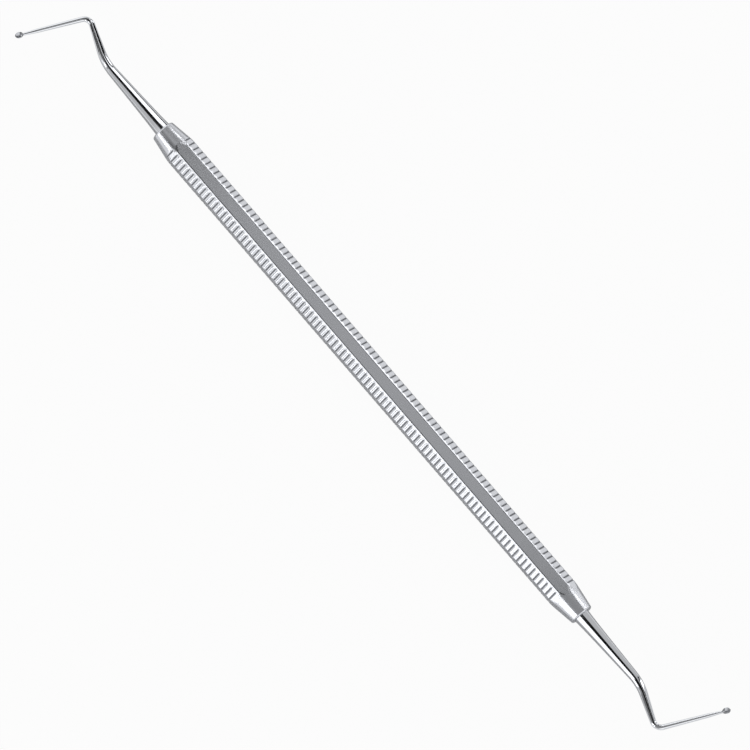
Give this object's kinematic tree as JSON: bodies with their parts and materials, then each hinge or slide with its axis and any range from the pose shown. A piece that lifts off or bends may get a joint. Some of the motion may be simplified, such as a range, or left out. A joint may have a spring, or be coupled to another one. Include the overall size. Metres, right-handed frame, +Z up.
{
  "type": "dental spoon excavator",
  "caption": "Double-ended dental spoon excavator: a serrated octagonal steel handle with a tapering, back-bent shank and a small round spoon at each end.",
  "frame": {"origin": "midpoint of the handle's length and width, on the smooth side that the instrument lies on", "axes": "+X along the handle towards the right working end, +Z up out of the smooth side that lies on top; the bends lie in the horizontal plane through the handle's axis"},
  "size_m": [0.1774, 0.0186, 0.0055],
  "materials": {
    "handle_satin_steel": "satin-polished stainless steel",
    "working_end_polished_steel": "mirror-polished stainless steel"
  },
  "bodies": {
    "root": {"handle": "handle_satin_steel", "working_end_left": "working_end_polished_steel", "working_end_right": "working_end_polished_steel"}
  },
  "joints": []
}
